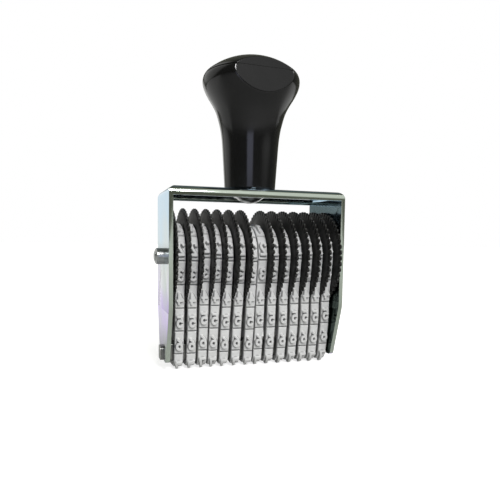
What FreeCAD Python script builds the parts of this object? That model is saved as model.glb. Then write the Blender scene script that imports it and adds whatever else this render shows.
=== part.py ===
import FreeCAD, Part
import math
import os

# Band numbering stamp, in millimetres.
# X runs across the bands, Z points up, the front is towards -Y.
# The origin lies in the plane of the print face, below the middle of the frame.

# Sheet metal frame
frame_width = 57.5
frame_depth = 25.5
frame_top = 57.7
sheet_thickness = 1.3
corner_inner_radius = 0.9
side_foot_height = 2.9
side_foot_depth = 13.8
side_taper_height = 20.5
side_corner_radius = 1.6
side_blend_radius = 9.0
lip_height = 2.85

# Number bands: a belt, on it a pad with sloping sides and a groove between cells,
# and on each cell's pad a raised digit block near the cell's lower groove
band_count = 14
band_width = 3.0
band_thickness = 1.5
pad_height = 0.45
pad_slope = 0.3
groove_width = 0.4
groove_depth = 0.4
digit_relief = 0.6
digit_width = 2.2
digit_length = 3.9
digit_rise = 3.05
cells_per_band = 14

# Thumb wheels
wheel_radius = 15.4
wheel_root_radius = 14.2
wheel_teeth = 48
rim_thickness = 0.75
drum_radius = 8.45
drum_clearance = 0.05
side_clearance = 0.05
bore_clearance = 0.05

# Axle
axle_height = 36.2
axle_diameter = 4.0
axle_end_diameter = 3.4
axle_end_chamfer = 0.3
axle_end_stand = 0.35
axle_nut_diameter = 5.2
axle_nut_thickness = 2.5
axle_nut_chamfer = 0.4
axle_hole_clearance = 0.04
spacer_diameter = 9.0
spacer_gap = 0.04

# Bridge bar that the bands run over
bridge_depth = 6.6
bridge_height = 5.7
bridge_corner_radius = 1.2
bridge_top_radius = 0.5
bridge_end_gap = 0.1
band_seat_clearance = 0.04
tenon_depth = 5.0
tenon_height = 4.4
tenon_radius = 1.0
tenon_stand = 1.0
tenon_clearance = 0.04

# Turned handle, heights measured from the top of the frame
handle_foot_radius = 8.4
handle_foot_edge = 0.5
handle_head_radius = 15.75
handle_head_height = 34.7
handle_dome_height = 7.1
handle_shoulder_radius = 4.2
neck_height_shares = (0.928, 0.83, 0.49)
neck_growth_shares = (0.93, 0.68, 0.136)
cap_seam_rise = 1.7
cap_seam_height = handle_head_height + cap_seam_rise
seam_groove_depth = 0.25
seam_groove_height = 0.3
facet_distance = 12.8
facet_height = 30.9
facet_tilt_degrees = 12.5
handle_cavity_radius = 10.5
handle_cavity_depth = 9.0
cap_spigot_height = 2.4
cap_spigot_wall = 1.2
cap_spigot_root = 1.0
cap_fit_clearance = 0.05

# Screw that holds the handle, put in from below
screw_shank_diameter = 4.8
screw_shank_length = 20.0
screw_hole_clearance = 0.15
screw_head_diameter = 9.4
screw_head_height = 2.0
screw_slot_width = 1.1
screw_slot_depth = 0.9
washer_diameter = 10.6
washer_thickness = 0.6

# Cuts run past the faces that they open by this much
overrun = 1.0

X_AXIS = FreeCAD.Vector(1, 0, 0)
Z_AXIS = FreeCAD.Vector(0, 0, 1)
ORIGIN = FreeCAD.Vector(0, 0, 0)

half_width = frame_width / 2
inner_half_width = half_width - sheet_thickness
sheet_underside = frame_top - sheet_thickness

# The wheels and bands alternate along the axle. Bands 1 to 7 have their rim on
# the left and bands 8 to 14 on the right, so the middle two bands are neighbours.
band_step = band_width + rim_thickness + 2 * side_clearance
middle_step = band_width + 2 * side_clearance
bands_per_side = band_count // 2

# Lengths of the loop that each band makes, along the middle of the belt's thickness
band_inner_radius = drum_radius + drum_clearance
seat_radius = bridge_corner_radius + band_seat_clearance
band_reach = band_thickness + pad_height + digit_relief
bridge_bottom = band_reach + band_seat_clearance
seat_centre_y = bridge_depth / 2 - bridge_corner_radius
seat_centre_z = bridge_bottom + bridge_corner_radius
centre_rise = axle_height - seat_centre_z
centre_distance = math.hypot(centre_rise, seat_centre_y)
radius_growth = band_inner_radius - seat_radius
wrap_angle = math.atan2(seat_centre_y, centre_rise) - math.asin(radius_growth / centre_distance)
straight_length = math.sqrt(centre_distance ** 2 - radius_growth ** 2)
seat_middle_radius = seat_radius + band_thickness / 2
drum_middle_radius = band_inner_radius + band_thickness / 2
seat_end = seat_centre_y + seat_middle_radius * (wrap_angle + math.pi / 2)
straight_end = seat_end + straight_length
half_loop_length = straight_end + drum_middle_radius * (math.pi / 2 - wrap_angle)
cell_pitch = 2 * half_loop_length / cells_per_band


def vec(x, y, z):
    return FreeCAD.Vector(x, y, z)


def band_centre(index):
    """Place along X of band 0 to 13, from left to right."""
    steps = index - bands_per_side
    if steps >= 0:
        return middle_step / 2 + steps * band_step
    return -middle_step / 2 + (steps + 1) * band_step


def polygon_face(points):
    return Part.Face(Part.makePolygon(points + [points[0]]))


def cylinder_x(radius, x_start, length):
    """A cylinder round the axle line."""
    return Part.makeCylinder(radius, length, vec(x_start, 0, axle_height), X_AXIS)


def box_between(x0, x1, y0, y1, z0, z1):
    return Part.makeBox(x1 - x0, y1 - y0, z1 - z0, vec(x0, y0, z0))


def side_edges(solid):
    """The edges of a solid that run along X."""
    return [e for e in solid.Edges if abs(e.tangentAt(e.FirstParameter).x) > math.cos(math.pi / 4)]


def rounded_bar(x_start, length, half_depth, z_bottom, z_top, bottom_radius, top_radius):
    """A bar along X with rounded long edges."""
    bar = box_between(x_start, x_start + length, -half_depth, half_depth, z_bottom, z_top)
    low = [e for e in side_edges(bar) if e.CenterOfMass.z < (z_bottom + z_top) / 2]
    bar = bar.makeFillet(bottom_radius, low)
    high = [e for e in side_edges(bar) if abs(e.CenterOfMass.z - z_top) < top_radius / 2]
    return bar.makeFillet(top_radius, high)


def round_topped_box(half_x, half_y, z_bottom, z_top, radius):
    """A box in the middle of the frame with its four top edges rounded."""
    box = box_between(-half_x, half_x, -half_y, half_y, z_bottom, z_top)
    rim = [e for e in box.Edges if abs(e.CenterOfMass.z - z_top) < radius / 2]
    return box.makeFillet(radius, rim)


def drawn_pan():
    """The drawn sheet before trimming: the top with four walls bent down from it."""
    half = frame_depth / 2
    outer = round_topped_box(half_width, half, side_foot_height, frame_top,
                             corner_inner_radius + sheet_thickness)
    inner = round_topped_box(inner_half_width, half - sheet_thickness, side_foot_height - overrun,
                             sheet_underside, corner_inner_radius)
    return outer.cut(inner)


def side_outline():
    """The outline of both side plates seen from the left: full depth above, tapered below."""
    half = frame_depth / 2
    foot = side_foot_depth / 2
    start = -half_width - overrun
    top = frame_top + overrun
    points = [vec(start, -half, top),
              vec(start, -half, side_taper_height),
              vec(start, -foot, side_foot_height),
              vec(start, foot, side_foot_height),
              vec(start, half, side_taper_height),
              vec(start, half, top)]
    prism = polygon_face(points).extrude(vec(frame_width + 2 * overrun, 0, 0))
    for z, radius in ((side_foot_height, side_corner_radius), (side_taper_height, side_blend_radius)):
        corners = [e for e in side_edges(prism) if abs(e.CenterOfMass.z - z) < sheet_thickness]
        prism = prism.makeFillet(radius, corners)
    return prism


def frame_yoke():
    """The plated frame: the front and the back wall are cut away up to a lip."""
    reach = frame_depth / 2 + overrun
    opening = box_between(-inner_half_width, inner_half_width, -reach, reach,
                          side_foot_height - overrun, frame_top - lip_height)
    frame = drawn_pan().common(side_outline()).cut(opening)
    hole_radius = axle_end_diameter / 2 + axle_hole_clearance
    frame = frame.cut(cylinder_x(hole_radius, -half_width - overrun, frame_width + 2 * overrun))
    slot_bottom = side_foot_height - tenon_radius - overrun
    frame = frame.cut(tenon_bar(half_width + overrun, slot_bottom, tenon_clearance))
    shank_hole = screw_shank_diameter / 2 + screw_hole_clearance
    frame = frame.cut(Part.makeCylinder(shank_hole, sheet_thickness + 2 * overrun,
                                        vec(0, 0, sheet_underside - overrun), Z_AXIS))
    return frame.removeSplitter()


def tenon_bar(reach, z_bottom, growth):
    """The bar that both tenons are the ends of. The slots that they slide up into are
    open at the foot of the side plates and larger by the growth."""
    radius = tenon_radius + growth
    return rounded_bar(-reach, 2 * reach, tenon_depth / 2 + growth, z_bottom,
                       side_foot_height + tenon_height + growth, radius, radius)


def bridge_bar():
    """The bar under the bands, with a tenon through each side plate."""
    half_length = inner_half_width - bridge_end_gap
    bar = rounded_bar(-half_length, 2 * half_length, bridge_depth / 2, bridge_bottom,
                      bridge_bottom + bridge_height, bridge_corner_radius, bridge_top_radius)
    return bar.fuse(tenon_bar(half_width + tenon_stand, side_foot_height, 0)).removeSplitter()


def axle():
    """A rod with a shoulder inside each plate and a thinner end that takes the nut."""
    shoulder = inner_half_width
    rod = cylinder_x(axle_diameter / 2, -shoulder, 2 * shoulder)
    reach = half_width + axle_nut_thickness + axle_end_stand
    ends = cylinder_x(axle_end_diameter / 2, -reach, 2 * reach)
    rims = [e for e in ends.Edges if abs(abs(e.CenterOfMass.x) - reach) < axle_end_chamfer]
    return rod.fuse(ends.makeChamfer(axle_end_chamfer, rims))


def axle_nut(side):
    """A round nut against the outside of a plate, side -1 is the left one."""
    start = half_width if side > 0 else -half_width - axle_nut_thickness
    nut = cylinder_x(axle_nut_diameter / 2, start, axle_nut_thickness)
    outer_x = side * (half_width + axle_nut_thickness)
    rims = [e for e in nut.Edges if abs(e.CenterOfMass.x - outer_x) < axle_nut_chamfer]
    nut = nut.makeChamfer(axle_nut_chamfer, rims)
    return nut.cut(cylinder_x(axle_end_diameter / 2, start - overrun, axle_nut_thickness + 2 * overrun))


def axle_spacer(side):
    """A washer between a side plate and the outermost rim."""
    rim_face = band_centre(band_count - 1) + band_width / 2 + side_clearance + rim_thickness
    thickness = inner_half_width - rim_face - spacer_gap
    start = inner_half_width - thickness if side > 0 else -inner_half_width
    ring = cylinder_x(spacer_diameter / 2, start, thickness)
    return ring.cut(cylinder_x(axle_diameter / 2, start - overrun, thickness + 2 * overrun))


def toothed_outline(x):
    """The rim's outline in the plane at x: straight-sided teeth all round."""
    points = []
    for i in range(2 * wheel_teeth):
        radius = wheel_radius if i % 2 == 0 else wheel_root_radius
        angle = math.pi * i / wheel_teeth
        points.append(vec(x, radius * math.cos(angle), axle_height + radius * math.sin(angle)))
    return polygon_face(points)


def number_wheel(index):
    """A toothed thumb rim and the drum that carries the band, in one piece."""
    centre = band_centre(index)
    drum_start = centre - band_width / 2
    if index < bands_per_side:
        rim_start = drum_start - side_clearance - rim_thickness
        hub_start = rim_start
    else:
        rim_start = drum_start + band_width + side_clearance
        hub_start = drum_start
    rim = toothed_outline(rim_start).extrude(vec(rim_thickness, 0, 0))
    hub_length = band_width + side_clearance + rim_thickness
    wheel = rim.fuse(cylinder_x(drum_radius, hub_start, hub_length))
    bore_radius = axle_diameter / 2 + bore_clearance
    wheel = wheel.cut(cylinder_x(bore_radius, hub_start - overrun, hub_length + 2 * overrun))
    return wheel.removeSplitter()


def loop_face(offset, x):
    """The area inside the band's loop, grown outwards by offset, in the plane at x."""
    drum = vec(x, 0, axle_height)
    drum_r = band_inner_radius + offset
    seat_r = seat_radius + offset

    def on_circle(centre, radius, angle):
        return centre + vec(0, radius * math.cos(angle), radius * math.sin(angle))

    right = vec(x, seat_centre_y, seat_centre_z)
    left = vec(x, -seat_centre_y, seat_centre_z)
    middle_angle = (wrap_angle - math.pi / 2) / 2
    r_low = on_circle(right, seat_r, -math.pi / 2)
    r_side = on_circle(right, seat_r, wrap_angle)
    r_drum = on_circle(drum, drum_r, wrap_angle)
    l_drum = on_circle(drum, drum_r, math.pi - wrap_angle)
    l_side = on_circle(left, seat_r, math.pi - wrap_angle)
    l_low = on_circle(left, seat_r, -math.pi / 2)
    edges = [Part.LineSegment(l_low, r_low),
             Part.Arc(r_low, on_circle(right, seat_r, middle_angle), r_side),
             Part.LineSegment(r_side, r_drum),
             Part.Arc(r_drum, on_circle(drum, drum_r, math.pi / 2), l_drum),
             Part.LineSegment(l_drum, l_side),
             Part.Arc(l_side, on_circle(left, seat_r, math.pi - middle_angle), l_low)]
    return Part.Face(Part.Wire([e.toShape() for e in edges]))


def loop_point(x, run, height):
    """A point over the band's inner surface, at a run along the middle of the belt.

    The run is nothing in the middle of the print face and grows up the front, and
    half the loop each way reaches the top of the drum."""
    run = (run + half_loop_length) % (2 * half_loop_length) - half_loop_length
    s = abs(run)
    y = seat_centre_y
    z = seat_centre_z
    reach = seat_radius + height
    if s <= seat_centre_y:
        y = s
        angle = -math.pi / 2
    elif s <= seat_end:
        angle = -math.pi / 2 + (s - seat_centre_y) / seat_middle_radius
    elif s <= straight_end:
        angle = wrap_angle
        y -= (s - seat_end) * math.sin(angle)
        z += (s - seat_end) * math.cos(angle)
    else:
        angle = wrap_angle + (s - straight_end) / drum_middle_radius
        y = 0
        z = axle_height
        reach = band_inner_radius + height
    side = -1 if run >= 0 else 1
    return vec(x, side * (y + reach * math.cos(angle)), z + reach * math.sin(angle))


def loop_sector(width, run_low, run_high, height_low):
    """The space over a stretch of the band, from a height over its inner surface outwards."""
    x = -width / 2
    far = band_reach + overrun
    middle = (run_low + run_high) / 2
    points = [loop_point(x, run_low, height_low),
              loop_point(x, run_low, far),
              loop_point(x, middle, far),
              loop_point(x, run_high, far),
              loop_point(x, run_high, height_low)]
    return polygon_face(points).extrude(vec(width, 0, 0))


def loop_ring(width, height):
    """The filled loop up to a height over the band's inner surface."""
    return loop_face(height, -width / 2).extrude(vec(width, 0, 0))


def number_band():
    """An endless rubber band in the middle of the frame, with its pads and digit blocks."""
    belt = loop_ring(band_width, band_thickness + pad_height)
    belt = belt.makeChamfer(pad_slope, [e for e in belt.Edges if abs(abs(e.CenterOfMass.x) - band_width / 2)
                                        < pad_slope / 2])
    floor = band_thickness + pad_height - groove_depth
    grooves = []
    digits = []
    for k in range(cells_per_band):
        start = k * cell_pitch
        grooves.append(loop_sector(band_width + overrun, start - groove_width / 2,
                                   start + groove_width / 2, floor))
        middle = start + digit_rise
        digits.append(loop_sector(digit_width, middle - digit_length / 2, middle + digit_length / 2, 0))
    blocks = loop_ring(digit_width, band_reach).common(Part.makeCompound(digits))
    hollow = loop_ring(band_width + 2 * overrun, 0)
    return belt.cut(grooves).fuse(blocks).cut(hollow).removeSplitter()


def smooth_arcs(points, angle):
    """Arcs through points in the plane of X and Z. The first leaves at an angle to the
    X axis, and each other one goes on in the direction in which the last one ended."""
    arcs = []
    for start, end in zip(points, points[1:]):
        chord = end - start
        chord_angle = math.atan2(chord.z, chord.x)
        bend = math.remainder(chord_angle - angle, 2 * math.pi)
        reach = chord.Length / (2 * math.cos(bend / 2))
        aim = angle + bend / 2
        middle = start + vec(reach * math.cos(aim), 0, reach * math.sin(aim))
        arcs.append(Part.Arc(start, middle, end).toShape())
        angle = chord_angle + bend
    return arcs


def handle_outline_solid():
    """The whole knob, turned round the Z axis: a waisted neck, a round head and a dome."""
    growth = handle_head_radius - handle_foot_radius
    head_z = frame_top + handle_head_height
    top_z = head_z + handle_dome_height
    neck = [vec(handle_head_radius, 0, head_z)]
    for height, share in zip(neck_height_shares, neck_growth_shares):
        neck.append(vec(handle_foot_radius + growth * share, 0, frame_top + handle_head_height * height))
    inset = handle_head_radius - handle_shoulder_radius
    rise = handle_dome_height
    crown_radius = ((inset ** 2 + rise ** 2 - handle_shoulder_radius ** 2)
                    / (2 * (rise - handle_shoulder_radius)))
    turn = math.atan2(crown_radius - rise, inset)
    shoulder = vec(inset + handle_shoulder_radius * math.cos(turn), 0,
                   head_z + handle_shoulder_radius * math.sin(turn))
    top = vec(0, 0, top_z)
    foot_side = vec(handle_foot_radius, 0, frame_top + handle_foot_edge)
    foot_in = vec(handle_foot_radius - handle_foot_edge, 0, frame_top)
    centre = vec(0, 0, frame_top)
    edges = [Part.makeLine(centre, foot_in),
             Part.makeLine(foot_in, foot_side),
             Part.makeLine(foot_side, neck[-1])]
    edges += reversed(smooth_arcs(neck, -math.pi / 2))
    edges += smooth_arcs([neck[0], shoulder, top], math.pi / 2)
    edges.append(Part.makeLine(top, centre))
    return Part.Face(Part.Wire(edges)).revolve(ORIGIN, Z_AXIS, 360)


def above_seam():
    reach = handle_head_radius + overrun
    height = handle_dome_height + handle_head_height
    return box_between(-reach, reach, -reach, reach,
                       frame_top + cap_seam_height, frame_top + height + overrun)


def seam_groove():
    """The ring that leaves a fine line between the cap and the body."""
    seam = frame_top + cap_seam_height
    inset = handle_head_radius - handle_shoulder_radius
    seam_radius = inset + math.sqrt(handle_shoulder_radius ** 2 - cap_seam_rise ** 2)
    base = vec(0, 0, seam - seam_groove_height / 2)
    outside = Part.makeCylinder(handle_head_radius + overrun, seam_groove_height, base, Z_AXIS)
    inside = Part.makeCylinder(seam_radius - seam_groove_depth, seam_groove_height, base, Z_AXIS)
    return outside.cut(inside)


def facet_cut():
    """The block that takes the flat off the front of the head, tilted a little upwards."""
    size = 3 * handle_head_radius
    block = Part.makeBox(size, size, size, vec(-size / 2, -size, -size / 2))
    block.rotate(ORIGIN, X_AXIS, -facet_tilt_degrees)
    block.translate(vec(0, -facet_distance, frame_top + facet_height))
    return block


def handle_body():
    body = handle_outline_solid().cut(above_seam())
    seam = frame_top + cap_seam_height
    cavity = Part.makeCylinder(handle_cavity_radius, handle_cavity_depth + overrun,
                               vec(0, 0, seam - handle_cavity_depth), Z_AXIS)
    shank = Part.makeCylinder(screw_shank_diameter / 2, screw_shank_length + overrun,
                              vec(0, 0, frame_top - overrun), Z_AXIS)
    return body.cut([cavity, shank, seam_groove(), facet_cut()]).removeSplitter()


def handle_cap():
    """The dome of the head, with a ring that plugs into the body."""
    seam = frame_top + cap_seam_height
    dome = handle_outline_solid().common(above_seam())
    spigot_radius = handle_cavity_radius - cap_fit_clearance
    base = vec(0, 0, seam - cap_spigot_height)
    length = cap_spigot_height + cap_spigot_root
    spigot = Part.makeCylinder(spigot_radius, length, base, Z_AXIS)
    spigot = spigot.cut(Part.makeCylinder(spigot_radius - cap_spigot_wall, cap_spigot_height, base, Z_AXIS))
    return dome.fuse(spigot).cut([seam_groove(), facet_cut()]).removeSplitter()


def handle_screw():
    """A round-headed screw from below, with its slot across the head."""
    head_top = sheet_underside - washer_thickness
    shank_top = frame_top + screw_shank_length
    shank = Part.makeCylinder(screw_shank_diameter / 2, shank_top - head_top, vec(0, 0, head_top), Z_AXIS)
    half = screw_head_diameter / 2
    sphere_radius = (half ** 2 + screw_head_height ** 2) / (2 * screw_head_height)
    ball = Part.makeSphere(sphere_radius, vec(0, 0, head_top - screw_head_height + sphere_radius))
    disc = Part.makeCylinder(half, screw_head_height, vec(0, 0, head_top - screw_head_height), Z_AXIS)
    head = ball.common(disc)
    low = head_top - screw_head_height
    slot = box_between(-half, half, -screw_slot_width / 2, screw_slot_width / 2,
                       low - overrun, low + screw_slot_depth)
    return head.cut(slot).fuse(shank)


def handle_washer():
    base = vec(0, 0, sheet_underside - washer_thickness)
    ring = Part.makeCylinder(washer_diameter / 2, washer_thickness, base, Z_AXIS)
    return ring.cut(Part.makeCylinder(screw_shank_diameter / 2, washer_thickness, base, Z_AXIS))


def main():
    os.makedirs("parts", exist_ok=True)
    parts = {"frame_yoke": frame_yoke(),
             "bridge_bar": bridge_bar(),
             "axle": axle(),
             "axle_nut_left": axle_nut(-1),
             "axle_nut_right": axle_nut(1),
             "axle_spacer_left": axle_spacer(-1),
             "axle_spacer_right": axle_spacer(1),
             "handle_body": handle_body(),
             "handle_cap": handle_cap(),
             "handle_screw": handle_screw(),
             "handle_washer": handle_washer()}
    band = number_band()
    for index in range(band_count):
        parts["number_wheel_%02d" % (index + 1)] = number_wheel(index)
        parts["number_band_%02d" % (index + 1)] = band.translated(vec(band_centre(index), 0, 0))
    for name, shape in parts.items():
        shape.exportStep("parts/%s.step" % name)
    print("cell pitch %.3f mm, loop length %.1f mm" % (cell_pitch, 2 * half_loop_length))


main()
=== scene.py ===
import math

import bmesh
import bpy
import numpy as np
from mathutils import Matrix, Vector


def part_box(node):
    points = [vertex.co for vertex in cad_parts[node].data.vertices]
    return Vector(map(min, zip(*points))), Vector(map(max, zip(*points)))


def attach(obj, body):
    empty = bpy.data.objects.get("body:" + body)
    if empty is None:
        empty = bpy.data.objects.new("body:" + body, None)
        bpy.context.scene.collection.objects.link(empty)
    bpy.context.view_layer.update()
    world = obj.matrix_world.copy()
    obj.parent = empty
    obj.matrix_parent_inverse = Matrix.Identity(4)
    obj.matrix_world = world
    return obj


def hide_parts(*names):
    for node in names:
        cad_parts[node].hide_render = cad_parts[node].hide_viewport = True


bl_info = {
    "name": "Number band stamp",
    "version": (1, 0, 0),
    "blender": (4, 5, 0),
    "location": "3D View > Sidebar > Stamp",
    "description": "Dresses a numbering stamp: bands, thumb wheels, knob, plating and studio",
    "category": "Object",
}

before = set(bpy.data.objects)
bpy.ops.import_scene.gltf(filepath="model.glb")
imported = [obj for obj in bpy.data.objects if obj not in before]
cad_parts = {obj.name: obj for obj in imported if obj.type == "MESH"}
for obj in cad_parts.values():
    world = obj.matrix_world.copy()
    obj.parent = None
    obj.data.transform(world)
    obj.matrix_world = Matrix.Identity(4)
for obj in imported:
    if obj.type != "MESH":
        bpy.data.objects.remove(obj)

MM = 0.001
BANDS = 14
BODY = "stamp"

# How the fourteen bands sit, in millimetres: how far each wheel and its band have moved to
# the right in their play, how much further the band leans to the right under the rims, in
# front and behind, and from the middle of the print face back to the nearest groove
UNIT_SHIFT = (0.0, 0.1, 0.05, -0.1, -0.25, -0.15, 0.0, 0.1, 0.25, 0.4, 0.45, 0.4, 0.27, 0.14)
FRONT_LEAN = (0.25, 0.3, 0.15, -0.15, -0.1, -0.1, 0.15, 0.3, 0.35, 0.6, 0.6, 0.65, 0.6, 0.65)
BACK_LEAN = (0.0, 0.0, 0.0, 0.0, 0.35, 0.59, 0.23, -0.19, -0.56, -0.6, -0.39, 0.0, 0.0, 0.0)
CELL_PHASE = (0.5, 0.55, -0.35, -0.1, 0.57, 0.25, 0.75, 0.25, 0.25, 0.25, -0.1, -0.15, -0.1, -0.6)
BAND_PLACES = (UNIT_SHIFT, FRONT_LEAN, BACK_LEAN, CELL_PHASE)

# Between these heights over the print face, in millimetres, a lean grows to its full size
# downwards, and over this run to either side of the print face's middle it changes from
# the one in front to the one behind
FRONT_LEAN_HEIGHTS = (12, 26)
BACK_LEAN_HEIGHTS = (18, 32)
LEAN_CHANGE = 5


def linear(code):
    """An sRGB hex colour as the linear red, green, blue and alpha that the shaders take."""
    channels = [int(code[i:i + 2], 16) / 255 for i in (1, 3, 5)]
    return [c / 12.92 if c <= 0.04045 else ((c + 0.055) / 1.055) ** 2.4 for c in channels] + [1.0]


def length(name, millimetres, text):
    """A size that the panel shows, given in millimetres and kept in metres."""
    return bpy.props.FloatProperty(name=name, description=text, default=millimetres * MM, min=0.0,
                                   precision=5, unit="LENGTH")


def colour(name, code, text):
    """A colour that the panel shows, given as sRGB hex and kept linear."""
    return bpy.props.FloatVectorProperty(name=name, description=text, subtype="COLOR", size=4,
                                         default=linear(code), min=0.0, max=1.0)


def amount(name, value, text):
    """A plain number that the panel shows, such as a power."""
    return bpy.props.FloatProperty(name=name, description=text, default=value, min=0.0)


class StampBandSizes(bpy.types.PropertyGroup):
    """The rubber number bands."""
    width: length("Belt width", 3.0, "Width of a band across the stamp")
    belt: length("Belt thickness", 1.5, "Thickness of the belt under the raised pads")
    pad_height: length("Pad height", 0.25, "Height of a cell's pad over the belt")
    pad_face: length("Pad face width", 2.4, "Width of a pad's flat face")
    pad_root: length("Pad root width", 2.9, "Width of a pad where it meets the belt")
    groove: length("Groove width", 0.42, "Width of the groove between two cells")
    groove_depth: length("Groove depth", 0.55, "Depth of that groove under the pad's face")
    digit_height: length("Digit height", 4.0, "Height of a digit")
    digit_width: length("Digit width", 2.4, "Width of a digit")
    digit_relief: length("Digit relief", 0.8, "How far a digit stands over its pad")
    stroke: length("Stroke width", 0.76, "Width of a digit's strokes")
    wall: length("Wall run", 0.18, "Run of a digit's sloping wall")
    # The ink below a stroke is a painted shadow under it, as if lit from above
    shadow_drop: length("Ink sag", 0.36, "How far the ink that settled by a stroke lies below it")
    digit_rise: length("Digit place", 3.25, "From a cell's lower groove to the middle of its digit")
    drum: length("Drum radius", 8.5, "Radius that a band takes on its wheel")
    axle_height: length("Axle height", 36.2, "Height of the axle over the print face")
    seat_radius: length("Seat radius", 1.24, "Radius that a band takes at the bridge's corners")
    seat_y: length("Seat half depth", 2.1, "From the middle of the bridge to the centre of that radius")
    seat_z: length("Seat height", 3.79, "Height of that centre over the print face")
    edge: length("Edge", 0.16, "Rounding of the belt's edges")
    rubber: colour("Rubber", "#D0D0CF", "Colour of clean rubber")
    # This colour is ink residue and painted shade in the counters and grooves, painted shade on the
    # band's sides and underside, and a painted shadow below each stroke
    residue_and_shade: colour("Ink residue", "#1E1E1F", "Colour of what has settled between the strokes")


class StampWheelSizes(bpy.types.PropertyGroup):
    """The toothed thumb wheels."""
    teeth: bpy.props.IntProperty(name="Teeth", description="Teeth round a rim", default=48, min=12)
    tooth_depth: length("Tooth depth", 1.4, "From a tooth's tip to the bottom of its gullet")
    rim: length("Rim thickness", 0.62, "Thickness of the toothed rim")
    edge: length("Edge", 0.1, "Rounding of the rim's edges")
    gap: length("Gap", 0.12, "From the rim to the wheel beside it, beyond the play in the solids")
    drum: length("Drum radius", 8.45, "Radius of the drum under the band")
    bore: length("Bore radius", 2.05, "Radius of the hole round the axle")
    nylon: colour("Nylon", "#0D0D0C", "Colour of the wheels")


class StampKnobSizes(bpy.types.PropertyGroup):
    """The turned knob on top."""
    foot: length("Foot radius", 8.4, "Radius of the knob where it stands on the frame")
    foot_edge: length("Foot edge", 0.5, "Rounding of the foot")
    head: length("Head radius", 15.86, "Largest radius of the head")
    base: length("Base height", 57.7, "Height of the knob's foot over the print face")
    head_height: length("Head height", 35.2, "From the foot to the widest ring")
    neck_blend: length("Neck blend", 4.5, "Half the height over which the cone bends into the head")
    dome: length("Dome height", 7.93, "From the widest ring to the top")
    shoulder: length("Shoulder radius", 3.7, "Radius of the dome's shoulder")
    seam: length("Seam height", 36.9, "From the foot to the fine seam round the head")
    seam_gap: length("Seam gap", 0.3, "Height of the seam's groove")
    seam_depth: length("Seam depth", 0.25, "Depth of the seam's groove")
    facet_distance: length("Facet distance", 13.13, "From the knob's middle to the flat on the front")
    facet_height: length("Facet height", 30.9, "Height at which that distance is measured")
    facet_edge: length("Facet edge", 0.3, "Softness of the flat's edge")
    lacquer: colour("Lacquer", "#0B0B0C", "Colour of the knob")


class StampMetals(bpy.types.PropertyGroup):
    """The plated and turned metal."""
    edge: length("Edge", 0.3, "Rounding of the sheet's edges")
    plate: colour("Plate", "#C4CAC8", "Zinc plating")
    plate_cool: colour("Plate, cool film", "#B1CADB", "Where the passivated film looks blue")
    plate_warm: colour("Plate, violet film", "#BEAEDB", "Where the film looks violet")
    # This olive is also painted on the faces that look to the front or back, as a painted reflection
    plate_olive: colour("Plate, olive film", "#B0B9AF", "Where the film looks olive")
    # The stain is painted shade on the frame's inside, fading out round these heights
    inside_shade: colour("Stain", "#4A5450", "Where ink dulls the plating on the inside")
    inside_shade_top: length("Stain height", 47.0, "Height up to which ink dulls the side plates' inside")
    lip_shade_top: length("Lip stain height", 54.5, "Height round which that fades on the lips and top")
    steel: colour("Steel", "#B9BBBB", "Turned steel")
    bridge: colour("Bridge", "#8E8F8C", "The bridge bar")


class StampStage(bpy.types.PropertyGroup):
    """Floor, lamps and camera."""
    floor: colour("Floor", "#C6C6C4", "Colour of the floor")
    glow: amount("Floor glow", 0.74, "What the floor near the stamp gives off to the camera")
    key: amount("Key lamp", 5.6, "Power of the lamp high in front, in watts")
    right: amount("Right lamp", 2.5, "Power of the lamp high on the right, in watts")
    card: amount("Card", 0.85, "Power of the pale card round the camera, in watts")
    backdrop: amount("Backdrop", 1.0, "Strength of the light from the white backdrop")
    left: amount("Left card", 0.8, "Strength of the white card behind on the left")
    front: amount("Front card", 0.9, "Strength of the pale card in front on the right")
    room: amount("Room light", 0.24, "Strength of the light from the rest of the room")
    walls: colour("Walls", "#C9CBB8", "Colour of the room's walls")
    lens: amount("Lens", 37.048, "Focal length in millimetres, on a sensor 36 mm wide")


# Meshes

# In metres: how near two points of a new mesh are one, the length that counts as none, and
# how near two corners of a CAD mesh are one. Edges sharper than the angle stay sharp.
ONE_POINT, NO_LENGTH, ONE_CORNER = 1e-8, 1e-9, 1e-6
SHARP = math.radians(35)


def surface(name, points, close_u=False, close_v=False):
    """A mesh over a grid of points: each point is a vertex, and each four neighbours
    make a quad. A closed direction joins its last row to its first."""
    rows, columns = points.shape[:2]
    index = np.arange(rows * columns).reshape(rows, columns)
    ahead = np.roll(index, -1, 0)
    quads = np.stack([index, ahead, np.roll(ahead, -1, 1), np.roll(index, -1, 1)], -1)
    quads = quads[:rows if close_u else -1, :columns if close_v else -1].reshape(-1, 4)
    mesh = bpy.data.meshes.new(name)
    mesh.vertices.add(rows * columns)
    mesh.vertices.foreach_set("co", points.reshape(-1).astype(np.float32))
    mesh.loops.add(quads.size)
    mesh.loops.foreach_set("vertex_index", quads.reshape(-1).astype(np.int32))
    mesh.polygons.add(len(quads))
    mesh.polygons.foreach_set("loop_start", np.arange(0, quads.size, 4, dtype=np.int32))
    mesh.polygons.foreach_set("use_smooth", np.ones(len(quads), bool))
    mesh.update(calc_edges=True)
    return mesh


def weld(mesh):
    """Joins points that lie on each other, such as a pole's, and turns all faces outwards."""
    work = bmesh.new()
    work.from_mesh(mesh)
    bmesh.ops.remove_doubles(work, verts=work.verts, dist=ONE_POINT)
    bmesh.ops.dissolve_degenerate(work, edges=work.edges, dist=NO_LENGTH)
    bmesh.ops.recalc_face_normals(work, faces=work.faces)
    work.to_mesh(mesh)
    work.free()
    return mesh


def mark(mesh, name, domain, values):
    """Gives a mesh one value for each point or face, which its material reads."""
    made = mesh.attributes.new(name, "FLOAT", domain)
    made.data.foreach_set("value", np.asarray(values, np.float32).reshape(-1))


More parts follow.
